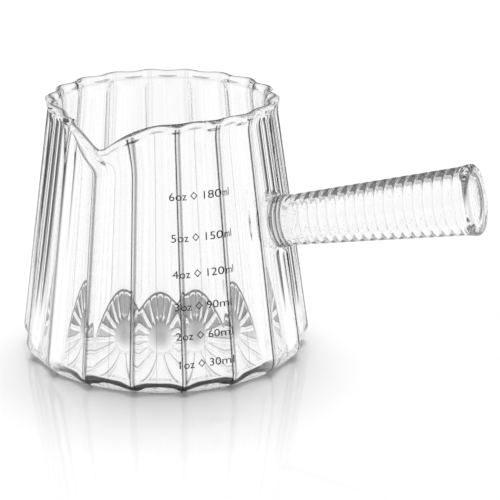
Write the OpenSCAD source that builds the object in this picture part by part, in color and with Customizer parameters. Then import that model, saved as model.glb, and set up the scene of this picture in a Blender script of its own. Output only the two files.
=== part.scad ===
/* [Cup] */
// Height from the table to the top of the rim
cup_h = 72; // [62:0.5:86]
// Width across the ridges of the straight wall, carried down to the table
base_d = 82; // [76:0.5:90]
// Width across the ridges of the straight wall, carried up to the rim
rim_d = 61.7; // [54:0.1:68]
// Thickness of the glass at the middle of a flute
wall_t = 1.4; // [1.2:0.1:2.2]
// Thickness of the rounded rim
rim_t = 2; // [1.6:0.1:2.6]
// How far the rim flares out of the line of the wall
rim_flare = 0.7; // [0.2:0.1:1]
// Height of the inside floor above the table
floor_t = 1.8; // [1.6:0.1:3.5]
// Radius of the outside corner between wall and base, on a ridge
corner_r = 5.5; // [4:0.5:7]
// Radius of the outside corner at the middle of a flute
flute_corner_r = 3; // [2:0.5:4]
// Radius of the inside corner between wall and floor
inside_corner_r = 4; // [3:0.5:6]
// Width of the plain disc at the middle of the base
disc_d = 20; // [16:1:28]
// Height ground off the ridges under the base to stand them flat
foot_cut = 0.3; // [0.2:0.05:0.5]

/* [Flutes] */
// Number of flutes round the cup
flutes = 18; // [14:1:22]
// Depth of a flute up the wall
flute_depth = 2; // [1.2:0.1:2.4]
// Depth of a flute at the rim
rim_flute_depth = 1.6; // [0.8:0.1:2]
// Depth of a flute under the base
base_flute_depth = 1.1; // [0.7:0.1:1.2]
// Height of the band below the rim where the inside takes up the flutes
rim_band = 3; // [2.5:0.5:8]
// Turn of the first ridge from the handle
flute_turn = -0.5; // [-10:0.5:10]
// Roundness of a ridge, against the depth of a flute
ridge_round = 0.1; // [0.06:0.01:0.2]

/* [Spout] */
// Turn of the spout from the handle
spout_turn = -98; // [-110:1:-80]
// How far the lip dips at the spout
spout_dip = 7.4; // [4:0.1:9]
// How far the lip is drawn out at the spout
spout_reach = 2.8; // [1:0.1:4]
// Turn from the middle of the spout to where it fades
spout_spread = 13; // [11:0.5:18]
// Turn by which the spout draws the nearest ridge aside at the lip
spout_skew = 13; // [0:0.5:14]
// Height of the wall that is drawn into the spout
spout_h = 15; // [13:0.5:20]

/* [Handle] */
// Height at which the handle's axis leaves the ridges of the wall
handle_z = 40; // [34:0.5:46]
// Rise of the handle's axis
handle_tilt = 12.5; // [6:0.5:18]
// Width of the weld between cup and handle
weld_d = 14; // [12:0.5:16]
// How far the weld is sunk below the ridges
weld_sink = 1.7; // [1:0.1:1.9]
// Width of the collar at the root of the handle
collar_d = 14.4; // [14:0.1:17]
// Length of the collar
collar_l = 3; // [2:0.1:5]
// Width of the tube over its rings at the collar
tube_root_d = 13.7; // [12:0.1:14]
// Width of the tube over its rings at the far end
tube_end_d = 18; // [15:0.1:18.4]
// Length of the ringed tube
tube_l = 48.4; // [36:0.1:64]
// Thickness of the tube at the bottom of a groove
tube_wall = 1.8; // [1.2:0.1:2.4]
// Number of rings along the tube
rings = 18; // [12:1:26]
// Depth of the grooves between rings
ring_depth = 0.35; // [0.2:0.05:0.6]
// Length of the closed end of the handle
end_l = 4.6; // [3:0.1:6]
// Width of the closed end
end_d = 18.9; // [18.5:0.1:21]
// Radius of the edge of the closed end
end_round = 1.4; // [0.8:0.1:2.4]

/* [Scale] */
// Volume between one mark and the next, in millilitres
mark_step_ml = 30; // [20:5:30]
// Number of marks
marks = 6; // [3:1:6]
// Turn of the column of marks from the handle
mark_turn = -53; // [-56:0.5:-46]
// Width of a mark
mark_w = 1.9; // [1.2:0.1:2.2]
// Width of the line that draws a mark
mark_line = 0.3; // [0.2:0.05:0.4]
// Thickness of the print
print_t = 0.1; // [0.05:0.01:0.15]
// Room between the print and the hollow of the flute behind it
print_gap = 0.12; // [0.1:0.01:0.2]

/* [Hidden] */
$fn = 96;

// Steps round one flute, and steps along each part of the outline
flute_steps = 6;
corner_steps = 6;
rim_steps = 6;
spout_steps = 6;
ring_steps = 6;
// Share of the way from the disc to the corner over which a flute deepens under the base
base_fade = 0.2;
// Share of a flute that the inside takes up at the rim
inside_share = 0.8;
// Roundness of the spout's outline: 1 is a sharp V and 2 a soft bell
spout_curve = 1.3;
// Round of the spout's tip, as a turn
spout_tip = 1.5;
// Middle and spread of the turn that draws the wall aside at the spout
skew_off = -2.5;
skew_spread = 14;
// Share of the base over which a flute rises out of the foot
foot_share = 0.18;
// Room round the collar where it is sunk into the wall
weld_room = 0.3;

// The straight wall leans in by this angle
lean_k = (base_d - rim_d) / 2 / cup_h;
lean = atan(lean_k);
// Across the wall from the ridges to the inside, level
inside_off = (flute_depth + wall_t) / cos(lean);
// Heights where the spout, the rim band and the round of the rim start
spout_z = cup_h - spout_h;
band_z = cup_h - rim_band;
rim_z = cup_h - rim_t / 2;

function ridge_r(z) = base_d / 2 - lean_k * z;
function inside_r(z) = ridge_r(z) - inside_off;
function soft(u) = let (t = max(0, min(1, u))) t * t * (3 - 2 * t);

// Hollow of a flute round the cup: 0 on a ridge and 1 at the middle of a flute, an arc between soft ridges
function hollow(a) =
    let (x = (a - flute_turn) * flutes / 360, d = 1 - abs(2 * (x - floor(x)) - 1), e = ridge_round)
    let (q = (sqrt(d * d + e * e) - e) / (sqrt(1 + e * e) - e))
    q * (2 - q);

// Share of the change from wall to rim at height z, and depth of a flute there
function rim_share(z) = soft((z - band_z) / rim_band);
function wall_depth(z) = flute_depth + (rim_flute_depth - flute_depth) * rim_share(z);

// A point of the glass at radius r, turn a and height z, drawn aside and out into the spout
function drawn(r, a, z) =
    let (w = (a - spout_turn + 540) % 360 - 180, share = soft((z - spout_z) / spout_h))
    let (v = w - spout_skew * exp(-pow((w - skew_off) / skew_spread, 2)) * share)
    let (off = sqrt(v * v + spout_tip * spout_tip) - spout_tip)
    let (p = exp(-pow(off / spout_spread, spout_curve)) * share, q = r + spout_reach * p)
    [q * cos(v + spout_turn), q * sin(v + spout_turn), z - spout_dip * p];

// Outside radius and inside radius of the wall at turn a and height z
rim_swell = (rim_t - wall_t) / 2;
function out_r(a, z) = ridge_r(z) - wall_depth(z) * hollow(a) + (rim_swell + rim_flare) * rim_share(z);
function in_r(a, z) =
    let (u = rim_share(z), b = inside_share * u, fluted = 1 - b + b * hollow(a))
    inside_r(z) * (1 - u) + (ridge_r(z) - wall_depth(z) * fluted - wall_t - rim_swell + rim_flare) * u;

// Outside corner at turn a: its radius, and the height and radius of its middle
function foot_r(a) = corner_r + (flute_corner_r - corner_r) * hollow(a);
function foot_z(a) = foot_r(a) - foot_cut;
function foot_c(a) = ridge_r(foot_z(a)) - flute_depth * hollow(a) - foot_r(a) / cos(lean);

// Middle of the inside corner, as radius and height, and the height where the wall is clear of the corners
inside_c_z = floor_t + inside_corner_r;
inside_c = inside_r(inside_c_z) - inside_corner_r / cos(lean);
wall_z0 = (corner_r + inside_corner_r / 2) * (1 + sin(lean));

// Rings of the outline, from the disc under the base, up the outside, over the rim and down the inside
turns = [for (i = [0:flutes * flute_steps - 1]) flute_turn + i * 360 / (flutes * flute_steps)];
disc_r = disc_d / 2;
under = [for (u = [0, base_fade / 2, base_fade, 1 - foot_share, 1 - foot_share / 2, 1])
    let (d = base_flute_depth * soft(u / base_fade) * soft((1 - u) / foot_share))
    [for (a = turns)
        let (r = disc_r + (foot_c(a) - disc_r) * u)
        [r * cos(a), r * sin(a), d * hollow(a) - foot_cut]]];
corner = [for (t = concat([for (i = [1:corner_steps]) -90 + 90 * i / corner_steps], [lean]))
    [for (a = turns)
        let (r = foot_c(a) + foot_r(a) * cos(t))
        [r * cos(a), r * sin(a), foot_z(a) + foot_r(a) * sin(t)]]];
wall_steps = 3;
wall_zs = concat(
    [for (i = [0:wall_steps - 1]) wall_z0 + (spout_z - wall_z0) * i / wall_steps],
    [for (i = [0:spout_steps - 1]) spout_z + (rim_z - spout_z) * i / spout_steps]);
outside = [for (z = wall_zs) [for (a = turns) drawn(out_r(a, z), a, z)]];
rim = [for (i = [0:rim_steps])
    let (t = 180 * i / rim_steps)
    [for (a = turns)
        let (ro = out_r(a, rim_z), ri = in_r(a, rim_z), h = (ro - ri) / 2)
        drawn((ro + ri) / 2 + h * cos(t), a, rim_z + rim_t / 2 * sin(t))]];
inside_zs = [for (i = [len(wall_zs) - 1:-1:0]) wall_zs[i]];
inside = [for (z = inside_zs) [for (a = turns) drawn(in_r(a, z), a, z)]];
inside_corner = [for (i = [corner_steps:-1:0])
    let (t = -90 + (90 + lean) * i / corner_steps, r = inside_c + inside_corner_r * cos(t))
    [for (a = turns) [r * cos(a), r * sin(a), inside_c_z + inside_corner_r * sin(t)]]];
shell_rings = concat(under, corner, outside, rim, inside, inside_corner);

// One closed skin over a stack of rings, each with as many points
module ring_skin(stack) {
    n = len(stack[0]);
    last = (len(stack) - 1) * n;
    polyhedron(
        points = [for (ring = stack) for (p = ring) p],
        faces = concat(
            [[for (i = [0:n - 1]) i]],
            [for (k = [0:len(stack) - 2]) for (i = [0:n - 1])
                [k * n + i, (k + 1) * n + i, k * n + (i + 1) % n]],
            [for (k = [0:len(stack) - 2]) for (i = [0:n - 1])
                [k * n + (i + 1) % n, (k + 1) * n + i, (k + 1) * n + (i + 1) % n]],
            [[for (i = [n - 1:-1:0]) last + i]]),
        convexity = 10);
}

// The handle's axis starts on the cup's axis; along it the weld lies below the ridges
axis_z = handle_z - ridge_r(handle_z) * tan(handle_tilt);
weld_at = ridge_r(handle_z) / cos(handle_tilt) - weld_sink;
tube_at = weld_at + collar_l;
end_at = tube_at + tube_l;
bore_root_r = tube_root_d / 2 - ring_depth - tube_wall;
bore_end_r = tube_end_d / 2 - ring_depth - tube_wall;

module on_handle_axis() {
    translate([0, 0, axis_z]) rotate([0, 90 - handle_tilt, 0]) children();
}

// Gather of glass that the handle is welded to, kept out of the inside of the cup
module weld_boss() {
    keep = wall_t / 2;
    difference() {
        on_handle_axis() cylinder(d = weld_d, h = weld_at);
        cylinder(r1 = inside_r(0) + keep, r2 = inside_r(cup_h) + keep, h = cup_h);
    }
}

module cup_body() {
    color([0.86, 0.9, 0.91, 0.45]) difference() {
        union() {
            ring_skin(shell_rings);
            weld_boss();
        }
        on_handle_axis() translate([0, 0, weld_at]) cylinder(d = collar_d + 2 * weld_room, h = 2 * collar_l);
        translate([-base_d, -base_d, -2 * corner_r]) cube([2 * base_d, 2 * base_d, 2 * corner_r]);
    }
}

// Two soft beads round the root of the handle
module handle_collar() {
    bead = collar_l / 2;
    swell = (collar_d - tube_root_d) / 2;
    base_r = tube_root_d / 2;
    color([0.84, 0.88, 0.9, 0.5]) on_handle_axis() rotate_extrude()
        polygon(concat(
            [[bore_root_r, weld_at]],
            [for (k = [0, 1]) for (i = [0:ring_steps])
                [base_r + swell * sin(180 * i / ring_steps), weld_at + bead * (k + i / ring_steps)]],
            [[bore_root_r, tube_at]]));
}

// Radius over the rings at share u of the tube's length, and the round of one ring
function tube_r(u) = (tube_root_d + (tube_end_d - tube_root_d) * u) / 2;
function ring_swell(v) = 1 - pow(abs(2 * v - 1), 3);

module handle_tube() {
    color([0.84, 0.88, 0.9, 0.5]) on_handle_axis() rotate_extrude()
        polygon(concat(
            [[bore_root_r, tube_at]],
            [for (k = [0:rings - 1]) for (i = [0:ring_steps - 1])
                let (v = (1 - cos(180 * i / ring_steps)) / 2, u = (k + v) / rings)
                [tube_r(u) - ring_depth * (1 - ring_swell(v)), tube_at + tube_l * u]],
            [[tube_r(1) - ring_depth, end_at], [bore_end_r, end_at]]));
}

// Smooth closed end, a little wider than the tube, with a rounded edge
module handle_end() {
    r = end_d / 2;
    color([0.84, 0.88, 0.9, 0.5]) on_handle_axis() rotate_extrude()
        polygon(concat(
            [[0, end_at], [tube_end_d / 2 - ring_depth, end_at], [tube_end_d / 2, end_at + ring_depth]],
            [for (i = [0:ring_steps])
                let (t = 90 * i / ring_steps)
                [r - end_round * (1 - cos(t)), end_at + end_l - end_round * (1 - sin(t))]],
            [[0, end_at + end_l]]));
}

// Height at which the cup holds a volume, from the cone of the inside less its corner
floor_r = inside_r(floor_t);
corner_loss = 2 * PI * (floor_r - 0.22 * inside_corner_r) * pow(inside_corner_r, 2) * (1 - PI / 4);
function fill_z(ml) =
    (inside_r(0) - pow(pow(floor_r, 3) - 3 * lean_k * (ml * 1000 + corner_loss) / PI, 1 / 3)) / lean_k;

// Way that the hollow of a flute faces at the column of marks
mark_da = 0.5;
function mark_face(z) =
    let (dr = out_r(mark_turn + mark_da, z) - out_r(mark_turn - mark_da, z))
    mark_turn - atan(dr / (out_r(mark_turn, z) * 2 * mark_da * PI / 180));

// Lean of the hollow over the height of a mark at height z, and the radius that keeps the mark clear of it
function mark_top_r(z) = out_r(mark_turn, z + mark_w / 2);
function mark_low_r(z) = out_r(mark_turn, z - mark_w / 2);
function mark_lean(z) = atan((mark_low_r(z) - mark_top_r(z)) / mark_w);
function mark_r(z) = max(out_r(mark_turn, z), (mark_low_r(z) + mark_top_r(z)) / 2);

// One diamond for each measure, up the outside of the wall
module scale_marks() {
    color([0.2, 0.2, 0.21]) for (i = [1:marks]) {
        z = fill_z(i * mark_step_ml);
        r = mark_r(z);
        translate([r * cos(mark_turn), r * sin(mark_turn), z])
            rotate([0, 0, mark_face(z)])
            rotate([0, 90 - mark_lean(z), 0])
            translate([0, 0, print_gap])
            linear_extrude(print_t)
            rotate(45)
            difference() {
                square(mark_w / sqrt(2), center = true);
                square(mark_w / sqrt(2) - 2 * mark_line, center = true);
            }
    }
}

cup_body();
handle_collar();
handle_tube();
handle_end();
scale_marks();
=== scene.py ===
import math

import bpy
import numpy as np
from mathutils import Matrix, Vector


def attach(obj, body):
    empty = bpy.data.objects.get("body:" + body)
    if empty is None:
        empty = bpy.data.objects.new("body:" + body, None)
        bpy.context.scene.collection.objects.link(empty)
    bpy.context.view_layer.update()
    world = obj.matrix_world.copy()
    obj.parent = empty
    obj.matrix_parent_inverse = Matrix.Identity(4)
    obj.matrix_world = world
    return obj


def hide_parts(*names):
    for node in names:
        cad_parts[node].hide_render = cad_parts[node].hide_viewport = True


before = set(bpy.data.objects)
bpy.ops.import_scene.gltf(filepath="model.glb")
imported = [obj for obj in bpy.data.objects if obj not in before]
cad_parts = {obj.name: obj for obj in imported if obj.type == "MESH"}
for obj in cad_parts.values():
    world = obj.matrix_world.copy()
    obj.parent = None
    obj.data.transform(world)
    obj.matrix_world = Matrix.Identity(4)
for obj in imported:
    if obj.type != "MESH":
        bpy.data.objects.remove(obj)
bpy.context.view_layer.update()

# Sizes of the cup, in metres
MM = 0.001
CUP_H = 72 * MM
BASE_R = 40.97 * MM
RIM_R = 30.82 * MM
WALL_T = 1.1 * MM
RIM_T = 2.1 * MM
RIM_FLARE = 0.7 * MM
RIM_SWELL = 0.4 * MM
FLOOR_T = 1.5 * MM
FLOOR_PETAL = 0.8 * MM
CORNER_R = 5.5 * MM
FLUTE_CORNER_R = 3 * MM
INSIDE_CORNER_R = 2.5 * MM
DISC_R = 10 * MM
FOOT_CUT = 0.3 * MM

# Flutes
FLUTES = 18
FLUTE_DEPTH = 2.3 * MM
RIM_FLUTE_DEPTH = 1.5 * MM
RIM_DIP = 0.1 * MM
BASE_FLUTE_DEPTH = 1.2 * MM
RIM_BAND = 5 * MM
BEAD_BAND = 1 * MM
FLUTE_TURN = math.radians(-0.5)
RIDGE_ROUND = 0.04
INSIDE_SHARE = 0.8
INSIDE_RIB = 0.4 * MM
INSIDE_LOW = 4.4 * MM
INSIDE_FADE = 3 * MM
BASE_FADE = 0.2
FOOT_SHARE = 0.1

# Spout
SPOUT_TURN = math.radians(-98)
SPOUT_DIP = 7.4 * MM
SPOUT_REACH = 2.8 * MM
SPOUT_SPREAD = math.radians(13)
SPOUT_CURVE = 1.3
SPOUT_TIP = math.radians(1.5)
SPOUT_SKEW = math.radians(13)
SKEW_OFF = math.radians(-2.5)
SKEW_SPREAD = math.radians(14)
SPOUT_H = 15 * MM

# Handle
HANDLE_Z = 40 * MM
HANDLE_TILT = math.radians(12.5)
WELD_R = 7 * MM
WELD_SINK = 2.5 * MM
WELD_FILLET = 1.6 * MM
WELD_GAP = 0.01 * MM
COLLAR_R = 7.2 * MM
COLLAR_L = 3.8 * MM
COLLAR_BEADS = 3
TUBE_ROOT_R = 6.85 * MM
TUBE_END_R = 9 * MM
TUBE_L = 48.4 * MM
TUBE_WALL = 1.8 * MM
RINGS = 18
RING_DEPTH = 0.35 * MM
GROOVE_DEPTH = 0.25 * MM
GROOVE_SHARP = 5
END_L = 4.6 * MM
END_R = 9.45 * MM
END_ROUND = 1.4 * MM
END_WALL = 1.6 * MM
DOME_SHARE = 0.3
DOME_POWER = 0.6

# Worked out from the sizes
LEAN_K = (BASE_R - RIM_R) / CUP_H
LEAN = math.atan(LEAN_K)
INSIDE_OFF = (FLUTE_DEPTH + WALL_T) / math.cos(LEAN)
RIM_Z = CUP_H - RIM_T / 2


def srgb(code):
    """An sRGB hex colour as linear RGBA."""
    parts = [int(code[i:i + 2], 16) / 255 for i in (1, 3, 5)]
    return [c / 12.92 if c <= 0.04045 else ((c + 0.055) / 1.055) ** 2.4 for c in parts] + [1.0]


def add_node(tree, kind, settings=None, links=None, stops=()):
    """Adds one shader node, sets its properties, sockets and colour stops, and links its inputs."""
    made = tree.nodes.new(kind)
    for name, value in (settings or {}).items():
        if isinstance(name, int) or name in made.inputs:
            made.inputs[name].default_value = value
        else:
            setattr(made, name, value)
    for name, source in (links or {}).items():
        tree.links.new(source, made.inputs[name])
    if stops:
        ramp = made.color_ramp.elements
        ramp.remove(ramp[0])
        ramp[0].position, ramp[0].color = stops[0]
        for position, colour in stops[1:]:
            ramp.new(position).color = colour
    return made


# Camera
PHOTO_SIDE = 500
FOCAL_PX = 1766
VIEW_TURN = math.radians(22.8)
VIEW_PITCH = math.radians(19.14)
VIEW_DISTANCE = 491.2 * MM
AXIS_PIXEL = (164.4, 220.9)
SENSOR = 36
CLIP_START = 10 * MM


def place_camera():
    """Sets the camera so that the middle of the cup's axis lands on its pixel of the photograph."""
    across = (AXIS_PIXEL[0] - PHOTO_SIDE / 2) / FOCAL_PX
    up = (PHOTO_SIDE / 2 - AXIS_PIXEL[1]) / FOCAL_PX
    tilt = Matrix.Rotation(math.pi / 2 - VIEW_PITCH, 3, "X")
    ray = tilt @ Vector((across, up, -1)).normalized()
    heading = VIEW_TURN + math.atan2(ray.x, ray.y)
    turn = Matrix.Rotation(heading, 3, "Z")
    eye = Vector((0, 0, CUP_H / 2)) - (turn @ ray) * VIEW_DISTANCE
    data = bpy.data.cameras.new("photo_camera")
    data.sensor_width = SENSOR
    data.lens = SENSOR * FOCAL_PX / PHOTO_SIDE
    data.clip_start = CLIP_START
    camera = bpy.data.objects.new("photo_camera", data)
    camera.matrix_world = Matrix.Translation(eye) @ (turn @ tilt).to_4x4()
    bpy.context.scene.collection.objects.link(camera)
    bpy.context.scene.camera = camera


# The wall of the cup, as radii over turn and height
def soft(u):
    """A smooth step from 0 to 1."""
    t = np.clip(u, 0, 1)
    return t * t * (3 - 2 * t)


def ridge_r(z):
    """Radius over the ridges of the plain wall."""
    return BASE_R - LEAN_K * z


def inside_r(z):
    """Radius of the inside of the plain wall."""
    return ridge_r(z) - INSIDE_OFF


def ridge_side(a):
    """Share of the way from the nearest ridge to the middle of the flute, below 0 on its left."""
    x = (a - FLUTE_TURN) * FLUTES / (2 * math.pi) + 0.5
    return 2 * (x - np.floor(x)) - 1


def ridge_off(a):
    """Share of the way from the nearest ridge to the middle of the flute."""
    return np.abs(ridge_side(a))


def hollow(a):
    """0 on a ridge and 1 at the middle of a flute: an arc between soft ridges."""
    e = RIDGE_ROUND
    q = (np.sqrt(ridge_off(a) ** 2 + e * e) - e) / (math.sqrt(1 + e * e) - e)
    return q * (2 - q)


def wave(a):
    """0 on a ridge and 1 at the middle of a flute: soft all along."""
    return (1 - np.cos(math.pi * ridge_off(a))) / 2


def rim_share(z):
    """0 on the plain wall and 1 at the top of the rim."""
    return soft((z - (CUP_H - RIM_BAND)) / RIM_BAND)


def bead_share(z):
    """0 below the bead of the rim and 1 where it is widest."""
    return soft((z - (RIM_Z - BEAD_BAND)) / BEAD_BAND)


def wall_depth(z):
    """Depth of the flutes at a height."""
    return FLUTE_DEPTH + (RIM_FLUTE_DEPTH - FLUTE_DEPTH) * rim_share(z)


def flute(a, z):
    """The hollow of a flute, which turns into a soft wave at the rim."""
    return hollow(a) + (wave(a) - hollow(a)) * rim_share(z)


def out_r(a, z):
    """Radius of the outside of the wall."""
    fluted = ridge_r(z) - wall_depth(z) * flute(a, z)
    return fluted + RIM_FLARE * rim_share(z) + RIM_SWELL * bead_share(z)


def in_r(a, z):
    """Radius of the inside of the wall: slight ribs behind the ridges, and the rim's wave at the top."""
    u = rim_share(z)
    fluted = 1 - INSIDE_SHARE * u * (1 - flute(a, z))
    rim = ridge_r(z) - wall_depth(z) * fluted - RIM_T + 2 * RIM_SWELL + RIM_FLARE
    rib = INSIDE_RIB * (1 - hollow(a)) * soft((z - INSIDE_LOW) / INSIDE_FADE) * (1 - u)
    return inside_r(z) * (1 - u) + rim * u - RIM_SWELL * bead_share(z) - rib


def drawn(r, a, z):
    """Points at radius r, turn a and height z, drawn aside and out into the spout."""
    away = (a - SPOUT_TURN + math.pi) % (2 * math.pi) - math.pi
    share = soft((z - (CUP_H - SPOUT_H)) / SPOUT_H)
    turn = away - SPOUT_SKEW * np.exp(-((away - SKEW_OFF) / SKEW_SPREAD) ** 2) * share
    off = np.sqrt(turn ** 2 + SPOUT_TIP ** 2) - SPOUT_TIP
    pull = np.exp(-(off / SPOUT_SPREAD) ** SPOUT_CURVE) * share
    q = r + SPOUT_REACH * pull
    b = turn + SPOUT_TURN
    low = SPOUT_DIP * pull + RIM_DIP * wave(a) * rim_share(z)
    return np.stack([q * np.cos(b), q * np.sin(b), z - low], -1)


# The handle's axis starts on the cup's axis
AXIS_Z = HANDLE_Z - ridge_r(HANDLE_Z) * math.tan(HANDLE_TILT)
WELD_AT = ridge_r(HANDLE_Z) / math.cos(HANDLE_TILT) - WELD_SINK
TUBE_AT = WELD_AT + COLLAR_L
END_AT = TUBE_AT + TUBE_L
FACE_AT = END_AT + END_L
HANDLE_FRAME = Matrix.Translation((0, 0, AXIS_Z)) @ Matrix.Rotation(math.pi / 2 - HANDLE_TILT, 4, "Y")


def gathered(points):
    """Draws the outside of the wall out to the face that the handle is welded to."""
    axis = np.array([math.cos(HANDLE_TILT), 0, math.sin(HANDLE_TILT)])
    rel = points - np.array([0, 0, AXIS_Z])
    along = rel @ axis
    off = np.linalg.norm(rel - along[..., None] * axis, axis=-1)
    near = (along > 0) & (off < WELD_R + WELD_FILLET)
    share = soft((WELD_R + WELD_FILLET - off) / WELD_FILLET) ** 2
    share = np.where(off < WELD_R, 1, share) * near
    return points + ((WELD_AT - along) * share)[..., None] * axis


# Points closer together than this become one
SKIN_MERGE = 1e-4 * MM
TEXT_MERGE = 1e-3 * MM


def rolled_grid(name, rows, **fields):
    """A grid rolled into a closed skin. Formulas give its shape, so its points are set in code: rows is
    points over outline and turn, with the first turn repeated last. Each field is a number for every
    point, kept as an attribute of the mesh."""
    high, wide = rows.shape[:2]
    bpy.ops.object.select_all(action="DESELECT")
    bpy.ops.mesh.primitive_grid_add(x_subdivisions=wide - 1, y_subdivisions=high - 1, size=2)
    piece = bpy.context.active_object
    piece.name = piece.data.name = name
    flat = np.zeros(wide * high * 3)
    piece.data.vertices.foreach_get("co", flat)
    flat = flat.reshape(-1, 3)
    column = np.rint((flat[:, 0] + 1) / 2 * (wide - 1)).astype(int)
    row = np.rint((flat[:, 1] + 1) / 2 * (high - 1)).astype(int)
    piece.data.vertices.foreach_set("co", rows[row, column].ravel())
    for field, values in fields.items():
        made = piece.data.attributes.new(field, "FLOAT", "POINT")
        made.data.foreach_set("value", values[row, column])
    bpy.ops.object.mode_set(mode="EDIT")
    bpy.ops.mesh.select_all(action="SELECT")
    bpy.ops.mesh.remove_doubles(threshold=SKIN_MERGE)
    bpy.ops.mesh.normals_make_consistent(inside=False)
    bpy.ops.object.mode_set(mode="OBJECT")
    bpy.ops.object.shade_smooth()
    return piece


# Cup body: how many turns and rows its skin has
FLUTE_STEPS = 18
EVEN_SHARE = 0.35
DISC_ROWS = 5
PETAL_ROWS = 41
CORNER_ROWS = 25
WALL_ROWS = 93
RIM_ROWS = 25
BEAD_ROWS = 13
INSIDE_ROWS = 41
INSIDE_CORNER_ROWS = 13

# Cup body: how dark, where and how wide its painted shade lines are, and a distance in millimetres for no
# ridge.
# The painted shade lies along the top of the rim, under the bead, round the foot and along the floor's
# petals
RIM_PAINTED_SHADE = 0.97
RIM_LINE = math.radians(26)
BEAD_PAINTED_SHADE = 0.25
BEAD_LINE = 0.3 * MM
FOOT_PAINTED_SHADE = 0.5
FOOT_AT = 0.33
FOOT_LINE = 0.13
PETAL_PAINTED_SHADE = 0.95
PETAL_LINE = 0.09
NO_RIDGE = 10


def cup_turns():
    """Turns round the cup, closer together at the ridges."""
    step = np.arange(FLUTES * FLUTE_STEPS + 1) / FLUTE_STEPS
    part = step - np.floor(step)
    wave_part = (1 - EVEN_SHARE) * (1 - np.cos(math.pi * part)) / 2
    eased = np.floor(step) + EVEN_SHARE * part + wave_part
    return FLUTE_TURN + eased * 2 * math.pi / FLUTES


def petal_depth(deepest, u):
    """Depth of a petal at a share of its length, from the disc out to the foot."""
    return deepest * soft(u / BASE_FADE) * soft((1 - u) / FOOT_SHARE)


def cup_rows():
    """Points of the cup's skin, millimetres from the nearest ridge and greys of painted shade, from the
    middle of the underside out, up over the rim and back to the middle of the floor."""
    a = cup_turns()
    side = ridge_side(a)
    dip = hollow(a)
    foot_r = CORNER_R + (FLUTE_CORNER_R - CORNER_R) * dip
    foot_z = foot_r - FOOT_CUT
    foot_c = ridge_r(foot_z) - FLUTE_DEPTH * dip - foot_r / math.cos(LEAN)
    inside_c_z = FLOOR_T + INSIDE_CORNER_R
    inside_c = inside_r(inside_c_z) - INSIDE_CORNER_R / math.cos(LEAN)
    rows = []
    sides = []
    greys = []

    def keep(points, across=NO_RIDGE, grey=0):
        rows.append(points)
        sides.append(across + 0 * a)
        greys.append(grey + 0 * a)

    def ring(r, z, across=NO_RIDGE, grey=0):
        keep(np.stack([r * np.cos(a), r * np.sin(a), z + 0 * a], -1), across, grey)

    def from_ridge(z):
        return side * math.pi * ridge_r(z) / FLUTES / MM

    # Under the base
    for r in np.linspace(0, DISC_R, DISC_ROWS):
        ring(r, 0)
    for u in np.linspace(0, 1, PETAL_ROWS)[1:]:
        z = np.maximum(petal_depth(BASE_FLUTE_DEPTH, u) * dip - FOOT_CUT, 0)
        ring(DISC_R + (foot_c - DISC_R) * u, z, from_ridge(0))
    # Outside corner
    for u in np.linspace(0, 1, CORNER_ROWS)[1:]:
        t = -math.pi / 2 + (math.pi / 2 + LEAN) * u
        z = np.maximum(foot_z + foot_r * math.sin(t), 0)
        # Painted shade: a dark line round the foot, the shadow under it seen through the corner
        line = FOOT_PAINTED_SHADE * math.exp(-((u - FOOT_AT) / FOOT_LINE) ** 2)
        ring(foot_c + foot_r * math.cos(t), z, from_ridge(0), line)
    # Outside wall
    wall_low = foot_z + foot_r * math.sin(LEAN)
    for u in np.linspace(0, 1, WALL_ROWS)[1:]:
        z = wall_low + (RIM_Z - wall_low) * u
        keep(gathered(drawn(out_r(a, z), a, z)), from_ridge(z))
    # Rim
    outer = out_r(a, RIM_Z)
    inner = in_r(a, RIM_Z)
    for t in np.linspace(0, math.pi, RIM_ROWS)[1:]:
        r = (outer + inner) / 2 + (outer - inner) / 2 * math.cos(t)
        # Painted shade: a dark line along the top of the rim
        line = RIM_PAINTED_SHADE * math.exp(-((t - math.pi / 2) / RIM_LINE) ** 2)
        keep(drawn(r, a, RIM_Z + RIM_T / 2 * math.sin(t)), grey=line)
    # Inside wall, with closer rows under the rim
    bead_z = RIM_Z - BEAD_BAND
    bead_low = RIM_Z - 2 * BEAD_BAND
    inside_low = inside_c_z + INSIDE_CORNER_R * math.sin(LEAN)
    under_rim = np.linspace(RIM_Z, bead_low, BEAD_ROWS)[1:]
    down_wall = np.linspace(bead_low, inside_low, INSIDE_ROWS)[1:]
    for z in np.concatenate([under_rim, down_wall]):
        # Painted shade: a dark line round the inside just under the bead
        line = BEAD_PAINTED_SHADE * math.exp(-((z - bead_z) / BEAD_LINE) ** 2)
        keep(drawn(in_r(a, z), a, z), grey=line)
    # Inside corner and floor
    for t in np.linspace(LEAN, -math.pi / 2, INSIDE_CORNER_ROWS)[1:]:
        ring(inside_c + INSIDE_CORNER_R * math.cos(t), inside_c_z + INSIDE_CORNER_R * math.sin(t))
    for u in np.linspace(1, 0, PETAL_ROWS)[1:]:
        z = FLOOR_T + petal_depth(FLOOR_PETAL, u) * dip
        # Painted shade: grey lines along the ridges of the floor's petals
        line = PETAL_PAINTED_SHADE * np.exp(-(side / PETAL_LINE) ** 2) * soft(u / BASE_FADE)
        ring(DISC_R + (inside_c - DISC_R) * u, z, grey=line)
    for r in np.linspace(DISC_R, 0, DISC_ROWS)[1:]:
        ring(r, FLOOR_T)
    return np.array(rows), np.array(sides), np.array(greys)


# Handle: how many turns and points its skin has
HANDLE_STEPS = 96
BEAD_STEPS = 18
RING_STEPS = 16
LIP_STEPS = 6
ROUND_STEPS = 13
FACE_ROWS = 50
DOME_STEPS = 16
BORE_ROWS = 20

# Handle: how dark its painted shade lines are and how quickly they fade: in the collar's valleys, the
# grooves, round the end's edge and in rings on its face
COLLAR_PAINTED_SHADE = 1
COLLAR_FADE = 0.3
GROOVE_PAINTED_SHADE = 0.35
GROOVE_FADE = 16
END_PAINTED_SHADE = 0.4
FACE_PAINTED_SHADE = 0.6
FACE_RING = 1.7 * MM
FACE_FADE = 12


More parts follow.
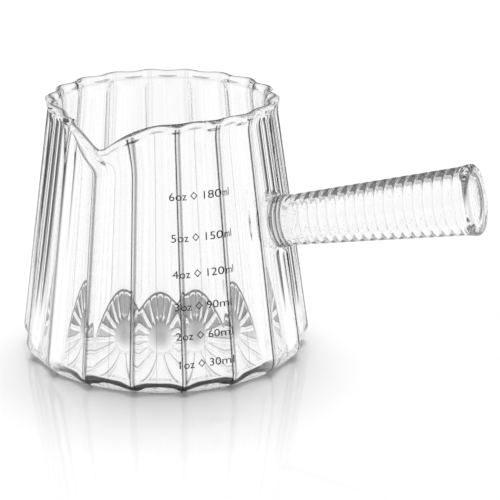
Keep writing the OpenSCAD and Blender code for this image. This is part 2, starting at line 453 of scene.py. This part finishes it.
def handle_outline():
    """Radius, distance along the handle and grey of painted shade, from the bore at the weld, out over the
    rings and round to the bore again."""
    bore_root = TUBE_ROOT_R - RING_DEPTH - TUBE_WALL
    bore_end = END_R - RING_DEPTH - TUBE_WALL
    start = WELD_AT + WELD_GAP
    line = [(bore_root, start, 0), ((bore_root + TUBE_ROOT_R) / 2, start, 0)]
    # Collar
    bead_l = (COLLAR_L - WELD_GAP) / COLLAR_BEADS
    for k in range(COLLAR_BEADS):
        for i in range(BEAD_STEPS):
            u = i / BEAD_STEPS
            swell = math.sin(math.pi * u)
            r = TUBE_ROOT_R + (COLLAR_R - TUBE_ROOT_R) * swell
            # Painted shade: darker in the valleys between the collar's beads
            line.append((r, start + bead_l * (k + u), COLLAR_PAINTED_SHADE * (1 - swell) ** COLLAR_FADE))
    # Rings
    for k in range(RINGS):
        for i in range(RING_STEPS):
            v = (1 - math.cos(math.pi * i / RING_STEPS)) / 2
            u = (k + v) / RINGS
            edge = abs(2 * v - 1)
            r = TUBE_ROOT_R + (TUBE_END_R - TUBE_ROOT_R) * u - GROOVE_DEPTH * edge ** GROOVE_SHARP
            # Painted shade: darker in the grooves between the rings
            line.append((r, TUBE_AT + TUBE_L * u, GROOVE_PAINTED_SHADE * edge ** GROOVE_FADE))
    line.append((TUBE_END_R - GROOVE_DEPTH, END_AT, GROOVE_PAINTED_SHADE))
    # Closed end
    for i in range(LIP_STEPS):
        t = math.pi / 2 * (i + 1) / LIP_STEPS
        r = TUBE_END_R - GROOVE_DEPTH * (1 - math.sin(t))
        line.append((r, END_AT + GROOVE_DEPTH * (1 - math.cos(t)), 0))
    line.append(((TUBE_END_R + END_R) / 2, END_AT + (END_L - END_ROUND) / 2, 0))
    for i in range(ROUND_STEPS + 1):
        t = math.pi / 2 * i / ROUND_STEPS
        r = END_R - END_ROUND * (1 - math.cos(t))
        # Painted shade: a dark line round the rounded edge of the end
        line.append((r, FACE_AT - END_ROUND * (1 - math.sin(t)), END_PAINTED_SHADE * math.sin(2 * t) ** 2))
    for r in np.linspace(END_R - END_ROUND, 0, FACE_ROWS)[1:]:
        # Painted shade: dark rings on the end's face
        line.append((r, FACE_AT, FACE_PAINTED_SHADE * math.cos(math.pi * r / FACE_RING) ** FACE_FADE))
    # Inside: a domed end to the bore, then straight back
    dome = DOME_SHARE * bore_end
    dome_at = FACE_AT - END_WALL - dome
    for i in range(DOME_STEPS + 1):
        t = math.pi / 2 * i / DOME_STEPS
        line.append((bore_end * math.sin(t) ** DOME_POWER, dome_at + dome * math.cos(t), 0))
    for u in np.linspace(1, 0, BORE_ROWS)[1:]:
        line.append((bore_root + (bore_end - bore_root) * u, start + (dome_at - start) * u, 0))
    return line


def handle_rows():
    """Points of the handle's skin and its greys of painted shade: the outline turned about the handle's
    axis.
    """
    turn = np.linspace(0, 2 * math.pi, HANDLE_STEPS + 1)
    place = np.array(HANDLE_FRAME)
    rows = []
    greys = []
    for r, along, grey in handle_outline():
        flat = np.stack([r * np.cos(turn), r * np.sin(turn), along + 0 * turn], -1)
        rows.append(flat @ place[:3, :3].T + place[:3, 3])
        greys.append(grey + 0 * turn)
    return np.array(rows), np.array(greys)


# Printed scale: each row has its height in millimetres and the words left and right of its mark
PRINT_TURN = math.radians(-53)
PRINT_LIFT = 0.03 * MM
PRINT_T = 0.04 * MM
PRINT_STEP = 0.25 * MM
PRINT_LEFT = -8 * MM
PRINT_RIGHT = 11 * MM
PRINT_RISE = 0.33
TEXT_SIZE = 2.95 * MM
TEXT_GAP = 2.2 * MM
TEXT_WIDTH = 1.14
TEXT_MIDDLE = 0.35
TEXT_CURVE = 4
MARK_R = 1.08 * MM
MARK_LINE = 0.24 * MM
PRINT_ROWS = (
    (8.4, "1oz", "30ml"), (16, "2oz", "60ml"), (23.8, "3oz", "90ml"),
    (32.4, "4oz", "120ml"), (41.9, "5oz", "150ml"), (52.7, "6oz", "180ml"))


def flat_text(body, x, y, side):
    """Text as a thin mesh lying flat, with its edge at x and its middle at y."""
    bpy.ops.object.text_add()
    piece = bpy.context.active_object
    piece.data.body = body
    piece.data.size = TEXT_SIZE
    piece.data.align_x = side
    piece.data.extrude = PRINT_T / 2
    piece.data.resolution_u = TEXT_CURVE
    bpy.ops.object.convert(target="MESH")
    bpy.ops.object.mode_set(mode="EDIT")
    bpy.ops.mesh.select_all(action="SELECT")
    bpy.ops.transform.resize(value=(TEXT_WIDTH, 1, 1), center_override=(0, 0, 0))
    bpy.ops.transform.translate(value=(x, y - TEXT_MIDDLE * TEXT_SIZE, 0))
    bpy.ops.mesh.remove_doubles(threshold=TEXT_MERGE)
    bpy.ops.object.mode_set(mode="OBJECT")
    return piece


def flat_diamond(y):
    """A diamond drawn with a line, lying flat."""
    bpy.ops.mesh.primitive_circle_add(
        vertices=4, radius=MARK_R, fill_type="NGON", location=(0, y, -PRINT_T / 2))
    piece = bpy.context.active_object
    bpy.ops.object.transform_apply(location=True)
    bpy.ops.object.mode_set(mode="EDIT")
    bpy.ops.mesh.select_all(action="SELECT")
    bpy.ops.mesh.inset(thickness=MARK_LINE)
    bpy.ops.mesh.delete(type="FACE")
    bpy.ops.mesh.select_all(action="SELECT")
    bpy.ops.mesh.extrude_region_move(TRANSFORM_OT_translate={"value": (0, 0, PRINT_T)})
    bpy.ops.object.mode_set(mode="OBJECT")
    return piece


def printed_scale():
    """The whole print made flat, cut into narrow upright strips and laid round the wall."""
    bpy.ops.object.select_all(action="DESELECT")
    made = []
    for z, left, right in PRINT_ROWS:
        made.append(flat_text(left, -TEXT_GAP, z * MM, "RIGHT"))
        made.append(flat_text(right, TEXT_GAP, z * MM, "LEFT"))
        made.append(flat_diamond(z * MM))
    for piece in made:
        piece.select_set(True)
    bpy.context.view_layer.objects.active = made[0]
    bpy.ops.object.join()
    piece = bpy.context.active_object
    piece.name = piece.data.name = "scale_print"
    bpy.ops.object.mode_set(mode="EDIT")
    for x in np.arange(PRINT_LEFT, PRINT_RIGHT, PRINT_STEP):
        bpy.ops.mesh.select_all(action="SELECT")
        bpy.ops.mesh.bisect(plane_co=(x, 0, 0), plane_no=(1, 0, 0))
    bpy.ops.mesh.select_all(action="SELECT")
    bpy.ops.mesh.normals_make_consistent(inside=False)
    bpy.ops.object.mode_set(mode="OBJECT")
    flat = np.zeros(len(piece.data.vertices) * 3)
    piece.data.vertices.foreach_get("co", flat)
    x, z, lift = flat.reshape(-1, 3).T
    a = PRINT_TURN + x / ridge_r(z)
    z = z + PRINT_RISE * (out_r(a, z) - out_r(PRINT_TURN, z))
    r = out_r(a, z) + PRINT_LIFT + PRINT_T / 2 + lift
    piece.data.vertices.foreach_set("co", np.stack([r * np.cos(a), r * np.sin(a), z], -1).ravel())
    return piece


# Materials: greys across a ridge are in millimetres from its crest and are painted shade, the dark lines
# that refraction draws along the ridges, and WITHIN is how much of a painted grey shows from within the
# glass
GLASS_IOR = 1.473
WITHIN = 0.2
RIDGE_LINE = 2
# Painted shade: the greys drawn across each ridge, darker on its left side than on its right
RIDGE_PAINTED_SHADE = (
    (-0.85, "#FFFFFF"), (-0.6, "#101010"), (-0.42, "#101010"), (-0.16, "#F2F2F2"),
    (0.25, "#6E6E6E"), (0.55, "#727272"), (0.95, "#FFFFFF"))
PRINT_GRAIN = 1.111 * MM


def material(name):
    """An empty material."""
    made = bpy.data.materials.new(name)
    made.use_nodes = True
    made.node_tree.nodes.clear()
    return made


def clear_glass(made, colour=None):
    """Ends a material as clear borosilicate, tinted by a colour on its outside and darkened by its grey
    attribute;
    both are painted shade, and show only faintly from within the glass."""
    tree = made.node_tree
    # The grey attribute is painted shade
    grey = add_node(tree, "ShaderNodeAttribute", {"attribute_name": "grey"})
    dark = add_node(tree, "ShaderNodeMix", {
        "data_type": "RGBA", 6: srgb("#FFFFFF"), 7: srgb("#000000")}, {"Factor": grey.outputs["Fac"]})
    tint = dark.outputs[2]
    if colour:
        both = add_node(tree, "ShaderNodeMix", {
            "data_type": "RGBA", "blend_type": "MULTIPLY", "Factor": 1.0}, {6: tint, 7: colour})
        tint = both.outputs[2]
    face = add_node(tree, "ShaderNodeNewGeometry")
    within = add_node(tree, "ShaderNodeMath", {"operation": "MULTIPLY", 1: 1 - WITHIN}, {
        0: face.outputs["Backfacing"]})
    shade = add_node(tree, "ShaderNodeMix", {"data_type": "RGBA", 7: srgb("#FFFFFF")}, {
        "Factor": within.outputs[0], 6: tint})
    shader = add_node(tree, "ShaderNodeBsdfPrincipled", {
        "Roughness": 0.0, "IOR": GLASS_IOR, "Transmission Weight": 1.0}, {"Base Color": shade.outputs[2]})
    add_node(tree, "ShaderNodeOutputMaterial", links={"Surface": shader.outputs[0]})
    return made


def fluted_glass():
    """Mould-blown borosilicate: clear, with painted shade along the ridges as fine grey lines, where
    refraction darkens them.
    """
    made = material("fluted_borosilicate_glass")
    tree = made.node_tree
    side = add_node(tree, "ShaderNodeAttribute", {"attribute_name": "ridge_mm"})
    share = add_node(tree, "ShaderNodeMapRange", {
        "From Min": -RIDGE_LINE, "From Max": RIDGE_LINE}, {"Value": side.outputs["Fac"]})
    # Painted shade: dark grey lines across each ridge
    greys = [((across / RIDGE_LINE + 1) / 2, srgb(code)) for across, code in RIDGE_PAINTED_SHADE]
    ramp = add_node(tree, "ShaderNodeValToRGB", links={"Fac": share.outputs[0]}, stops=greys)
    return clear_glass(made, ramp.outputs["Color"])


def tube_glass():
    """Drawn borosilicate tube: clear, mirror smooth from the flame, with painted shade in its grooves,
    collar and end.
    """
    return clear_glass(material("tube_borosilicate_glass"))


def fired_print():
    """Dark grey ceramic print fired onto the glass: matt, a little lighter in patches, as if thinner."""
    made = material("fired_grey_print")
    tree = made.node_tree
    place = add_node(tree, "ShaderNodeTexCoord")
    grain = add_node(tree, "ShaderNodeTexNoise", {"Scale": 1 / PRINT_GRAIN, "Detail": 2.0}, {
        "Vector": place.outputs["Object"]})
    shade = add_node(tree, "ShaderNodeMix", {
        "data_type": "RGBA", 6: srgb("#0C0C0D"), 7: srgb("#1E1E20")}, {"Factor": grain.outputs["Fac"]})
    shader = add_node(tree, "ShaderNodeBsdfPrincipled", {"Roughness": 0.55}, {
        "Base Color": shade.outputs[2]})
    add_node(tree, "ShaderNodeOutputMaterial", links={"Surface": shader.outputs[0]})
    return made


# Studio: a white table under a white sky. What the glass sees through itself is darker at the horizon, and
# the table it sees glows with painted shadow: a dark ring at the foot and shade under the far half of the
# base
BACK = (-math.sin(VIEW_TURN), math.cos(VIEW_TURN), 0)
ASIDE = (math.cos(VIEW_TURN), math.sin(VIEW_TURN), 0)
FLOOR_SIDE = 6
TABLE_R = 0.45
# Painted shadow seen through the glass: darker under the base and in a dark ring at its foot
TABLE_SHADOW_LEVELS = (
    (0, 0.5), (4 * MM, 0.55), (9 * MM, 0.95), (28 * MM, 0.95), (35.2 * MM, 0.9),
    (36.5 * MM, 0.25), (37 * MM, 0.25), (38 * MM, 0.95), (60 * MM, 1.0), (TABLE_R, 1.0))
UNDER_R = 38 * MM
UNDER_EDGE = 1 * MM
UNDER_NEAR = -10 * MM
UNDER_FAR = 18 * MM
UNDER_SHADE = 0.85
SKY_LOW = math.radians(7)
SKY_HIGH = math.radians(23)
HORIZON_LEVEL = 0.55
SKY_LIGHT = 0.38
LAMP_LIGHT = 2.2
LAMP_HEIGHT = math.radians(74)
LAMP_WIDTH = math.radians(44)
GLASS_BOUNCES = 48

# The room that rays turned back in the glass see. A ray that passed through more faces than ONE_WALL has
# gone on beyond one wall
ONE_WALL = 3.5
ROOM_MIDDLE = 0.8
ROOM_SIDE = 0.95
ROOM_FLOOR = 0.05
ROOM_SKY = 0.2
NEAR_R = 50 * MM
NEAR_END = 70 * MM
NEAR_LIGHT = 0.9
FOOT_DARK = -30 * MM
FOOT_LIT = -8 * MM


def room_level(tree, rays, level, vector, dark, near=None):
    """The level for rays that only went through the glass. Rays turned back inside one wall see a dark
    room with light sides, which draws the edges, and rays turned back further on see plain white, which
    keeps the panels clear."""
    turned = add_node(tree, "ShaderNodeMath", {"operation": "GREATER_THAN", 1: 0.5}, {
        0: rays.outputs["Glossy Depth"]})
    deep = add_node(tree, "ShaderNodeMath", {"operation": "GREATER_THAN", 1: ONE_WALL}, {
        0: rays.outputs["Transmission Depth"]})
    flat = add_node(tree, "ShaderNodeVectorMath", {"operation": "MULTIPLY", 1: (1, 1, 0)}, {0: vector})
    unit = add_node(tree, "ShaderNodeVectorMath", {"operation": "NORMALIZE"}, {0: flat.outputs["Vector"]})
    right = add_node(tree, "ShaderNodeVectorMath", {"operation": "DOT_PRODUCT", 1: ASIDE}, {
        0: unit.outputs["Vector"]})
    aside = add_node(tree, "ShaderNodeMath", {"operation": "ABSOLUTE"}, {0: right.outputs["Value"]})
    walls = add_node(tree, "ShaderNodeMapRange", {
        "interpolation_type": "SMOOTHSTEP", "From Min": ROOM_MIDDLE, "From Max": ROOM_SIDE,
        "To Min": dark, "To Max": 1.0}, {"Value": aside.outputs[0]})
    plain = deep.outputs[0]
    if near:
        plain = add_node(tree, "ShaderNodeMath", {"operation": "MAXIMUM"}, {0: plain, 1: near}).outputs[0]
    room = add_node(tree, "ShaderNodeMix", {"data_type": "FLOAT", "B": 1.0}, {
        "Factor": plain, "A": walls.outputs[0]})
    return add_node(tree, "ShaderNodeMix", {"data_type": "FLOAT"}, {
        "Factor": turned.outputs[0], "A": level, "B": room.outputs[0]}).outputs[0]


def white_acrylic():
    """Polished white acrylic sheet: white, with a soft reflection of what stands on it. The glass sees it
    glow instead, at levels by the distance from the cup's axis that are painted shadow, shaded under the
    far half of the base."""
    made = material("white_acrylic")
    tree = made.node_tree
    sheet = add_node(tree, "ShaderNodeBsdfPrincipled", {
        "Base Color": srgb("#FFFFFF"), "Roughness": 0.07, "IOR": 1.45})
    rays = add_node(tree, "ShaderNodeLightPath")
    place = add_node(tree, "ShaderNodeTexCoord").outputs["Object"]
    radius = add_node(tree, "ShaderNodeVectorMath", {"operation": "LENGTH"}, {0: place}).outputs["Value"]
    depth = add_node(tree, "ShaderNodeVectorMath", {"operation": "DOT_PRODUCT", 1: BACK}, {
        0: place}).outputs["Value"]
    # Painted shadow: levels by distance, and the painted shade under the base
    share = add_node(tree, "ShaderNodeMath", {"operation": "DIVIDE", 1: 2 * TABLE_R}, {0: radius})
    levels = [(r / 2 / TABLE_R, [level] * 3 + [1]) for r, level in TABLE_SHADOW_LEVELS]
    ramp = add_node(tree, "ShaderNodeValToRGB", links={"Fac": share.outputs[0]}, stops=levels)
    under = add_node(tree, "ShaderNodeMapRange", {
        "interpolation_type": "SMOOTHSTEP", "From Min": UNDER_R, "From Max": UNDER_R + UNDER_EDGE,
        "To Min": 1.0, "To Max": 0.0}, {"Value": radius})
    far = add_node(tree, "ShaderNodeMapRange", {
        "interpolation_type": "SMOOTHSTEP", "From Min": UNDER_NEAR, "From Max": UNDER_FAR,
        "To Min": 0.0, "To Max": UNDER_SHADE}, {"Value": depth})
    shade = add_node(tree, "ShaderNodeMath", {"operation": "MULTIPLY"}, {
        0: far.outputs[0], 1: under.outputs[0]})
    lit = add_node(tree, "ShaderNodeMath", {"operation": "SUBTRACT", 0: 1.0}, {1: shade.outputs[0]})
    level = add_node(tree, "ShaderNodeMath", {"operation": "MULTIPLY"}, {
        0: ramp.outputs["Color"], 1: lit.outputs[0]})
    # The room's floor is light close to the cup, but painted dark at the near side of its foot as a shadow
    close = add_node(tree, "ShaderNodeMapRange", {
        "interpolation_type": "SMOOTHSTEP", "From Min": NEAR_R, "From Max": NEAR_END,
        "To Min": NEAR_LIGHT, "To Max": 0.0}, {"Value": radius})
    behind = add_node(tree, "ShaderNodeMapRange", {
        "interpolation_type": "SMOOTHSTEP", "From Min": FOOT_DARK, "From Max": FOOT_LIT,
        "To Min": 0.0, "To Max": 1.0}, {"Value": depth})
    near = add_node(tree, "ShaderNodeMath", {"operation": "MULTIPLY"}, {
        0: close.outputs[0], 1: behind.outputs[0]})
    glow = add_node(tree, "ShaderNodeEmission", links={
        "Strength": room_level(tree, rays, level.outputs[0], place, ROOM_FLOOR, near.outputs[0])})
    mixed = add_node(tree, "ShaderNodeMixShader", links={
        0: rays.outputs["Is Transmission Ray"], 1: sheet.outputs[0], 2: glow.outputs[0]})
    add_node(tree, "ShaderNodeOutputMaterial", links={"Surface": mixed.outputs[0]})
    return made


def studio_world():
    """White all round, but darker near the horizon for rays that come out of the glass."""
    made = bpy.data.worlds.new("studio")
    made.use_nodes = True
    tree = made.node_tree
    tree.nodes.clear()
    rays = add_node(tree, "ShaderNodeLightPath")
    place = add_node(tree, "ShaderNodeTexCoord").outputs["Generated"]
    height = add_node(tree, "ShaderNodeSeparateXYZ", links={0: place})
    sky = add_node(tree, "ShaderNodeMapRange", {
        "interpolation_type": "SMOOTHSTEP", "From Min": math.sin(SKY_LOW), "From Max": math.sin(SKY_HIGH),
        "To Min": HORIZON_LEVEL, "To Max": 1.0}, {"Value": height.outputs["Z"]})
    seen = add_node(tree, "ShaderNodeMath", {"operation": "MAXIMUM"}, {
        0: rays.outputs["Is Transmission Ray"], 1: rays.outputs["Is Singular Ray"]})
    shown = add_node(tree, "ShaderNodeMath", {"operation": "MAXIMUM"}, {
        0: rays.outputs["Is Camera Ray"], 1: rays.outputs["Is Glossy Ray"]})
    plain = add_node(tree, "ShaderNodeMix", {"data_type": "FLOAT", "A": SKY_LIGHT, "B": 1.0}, {
        "Factor": shown.outputs[0]})
    strength = add_node(tree, "ShaderNodeMix", {"data_type": "FLOAT"}, {
        "Factor": seen.outputs[0], "A": plain.outputs[0],
        "B": room_level(tree, rays, sky.outputs[0], place, ROOM_SKY)})
    light = add_node(tree, "ShaderNodeBackground", {"Color": srgb("#FFFFFF")}, {
        "Strength": strength.outputs[0]})
    add_node(tree, "ShaderNodeOutputWorld", links={"Surface": light.outputs[0]})
    return made


def overhead_lamp():
    """A wide soft lamp high behind the cup, so that its shadow falls a little towards the camera."""
    data = bpy.data.lights.new("overhead", "SUN")
    data.energy = LAMP_LIGHT
    data.angle = LAMP_WIDTH
    lamp = bpy.data.objects.new("overhead", data)
    level = math.cos(LAMP_HEIGHT)
    way = Vector((BACK[0] * level, BACK[1] * level, math.sin(LAMP_HEIGHT)))
    lamp.rotation_euler = way.to_track_quat("Z", "Y").to_euler()
    lamp.visible_glossy = False
    lamp.visible_transmission = False
    bpy.context.scene.collection.objects.link(lamp)


# Pieces
cup_points, cup_sides, cup_painted_shade = cup_rows()
cup = rolled_grid("cup_body_glass", cup_points, ridge_mm=cup_sides, grey=cup_painted_shade)
cup.data.materials.append(fluted_glass())
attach(cup, "root")
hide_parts("cup_body")

handle_points, handle_painted_shade = handle_rows()
handle = rolled_grid("handle_glass", handle_points, grey=handle_painted_shade)
handle.data.materials.append(tube_glass())
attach(handle, "root")
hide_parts("handle_collar", "handle_tube", "handle_end")
# Clear tube lets nearly all the light through, so it casts no shadow
handle.visible_shadow = False

print_piece = printed_scale()
print_piece.data.materials.append(fired_print())
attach(print_piece, "root")
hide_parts("scale_marks")

# Floor, light and camera
bpy.ops.object.select_all(action="DESELECT")
bpy.ops.mesh.primitive_plane_add(size=FLOOR_SIDE)
floor = bpy.context.active_object
floor.name = "floor"
floor.data.materials.append(white_acrylic())

overhead_lamp()
place_camera()
scene = bpy.context.scene
scene.world = studio_world()
scene.view_settings.view_transform = "Standard"
scene.cycles.max_bounces = GLASS_BOUNCES
scene.cycles.transmission_bounces = GLASS_BOUNCES
scene.cycles.glossy_bounces = GLASS_BOUNCES
